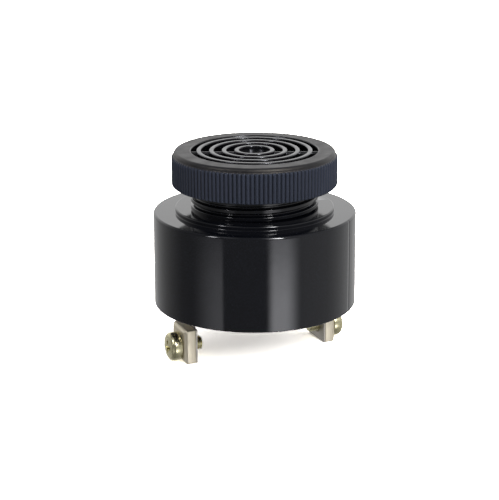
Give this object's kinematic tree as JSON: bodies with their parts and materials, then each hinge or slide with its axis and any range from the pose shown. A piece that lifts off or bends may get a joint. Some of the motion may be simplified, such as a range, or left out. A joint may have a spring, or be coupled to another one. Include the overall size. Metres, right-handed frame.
{
  "type": "piezo alarm sounder",
  "caption": "Round black panel-mount piezo sounder with a knurled screw-on grille bezel, a threaded neck with a shoulder, and screw terminals at the back.",
  "frame": {"origin": "on the sounder's axis, at the level of the terminals' feet", "axes": "+Z along the axis, out of the grille; the terminals lie along X, positive at +X"},
  "size_m": [0.0432, 0.0432, 0.0443],
  "materials": {
    "housing_black": "glossy black moulded plastic",
    "bezel_black": "satin black moulded plastic",
    "brass_disc": "rolled",
    "ceramic_disc": "silvered",
    "silicone": "cured bead",
    "board_green": "glass epoxy laminate",
    "component_black": "moulded",
    "resistor_tan": "lacquered",
    "capacitor_can": "sleeved can",
    "lead_red": "insulated",
    "lead_blue": "insulated",
    "lead_black": "insulated",
    "solder": "tin solder",
    "resin_black": "cast resin",
    "terminal_tin": "dull tin plate",
    "screw_zinc": "yellow zinc plate"
  },
  "bodies": {
    "sounder": {"housing": "housing_black", "diaphragm": "brass_disc", "piezo_ceramic": "ceramic_disc", "diaphragm_adhesive": "silicone", "circuit_board": "board_green", "drive_transistor": "component_black", "base_resistor": "resistor_tan", "feedback_resistor": "resistor_tan", "supply_resistor": "resistor_tan", "supply_capacitor": "capacitor_can", "polarity_diode": "component_black", "drive_lead": "lead_red", "feedback_lead": "lead_blue", "common_lead": "lead_black", "bender_solder": "solder", "terminal_solder": "solder", "potting": "resin_black", "terminal_strip_positive": "terminal_tin", "terminal_strip_negative": "terminal_tin", "tapped_plate_positive": "terminal_tin", "tapped_plate_negative": "terminal_tin", "terminal_screw_positive": "screw_zinc", "terminal_screw_negative": "screw_zinc"},
    "bezel": {"bezel": "bezel_black"}
  },
  "joints": [
    {"name": "bezel_travel", "type": "slide", "parent": "sounder", "child": "bezel", "axis": [0, 0, 1], "range_m": [-0.00317, 0.00635]}
  ]
}
